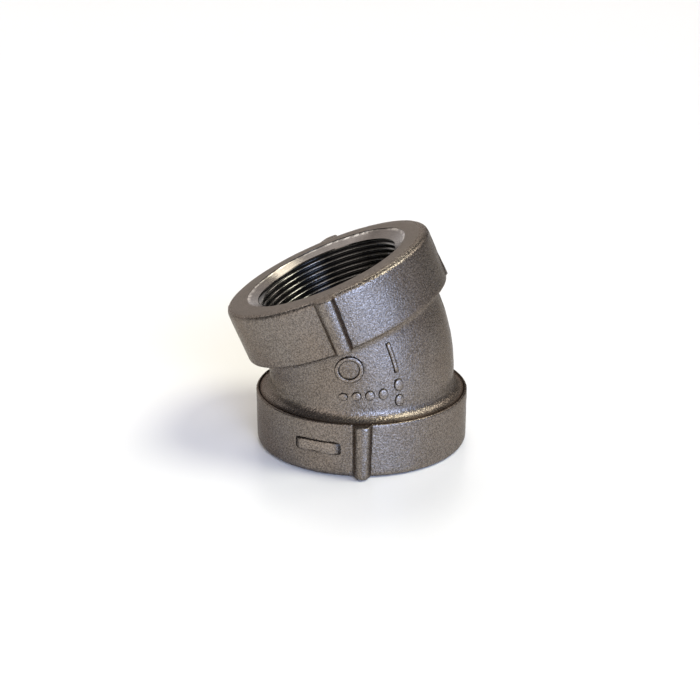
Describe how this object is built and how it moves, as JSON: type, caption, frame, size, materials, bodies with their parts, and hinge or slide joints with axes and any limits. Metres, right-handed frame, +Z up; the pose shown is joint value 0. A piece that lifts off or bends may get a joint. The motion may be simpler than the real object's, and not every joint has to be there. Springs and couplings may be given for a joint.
{
  "type": "pipe elbow",
  "caption": "Cast-iron elbow that turns a threaded pipe through a shallow angle, with a ribbed band around each female threaded end.",
  "frame": {"origin": "middle of the base's outline box, in the plane of the lower face; the lower thread's axis is 5.06 mm from it, towards +X", "axes": "+Z up along the lower thread's axis; the upper end leans 22.5 degrees towards -X; Y is square to the plane of the bend, through the ribs"},
  "size_m": [0.0934, 0.09, 0.0853],
  "materials": {
    "cast_iron_skin": "bare grey iron, as cast and lightly oiled, with a fine grain; the countersunk mouths and the threads are machined"
  },
  "bodies": {
    "root": {"elbow_casting": "cast_iron_skin"}
  },
  "joints": []
}
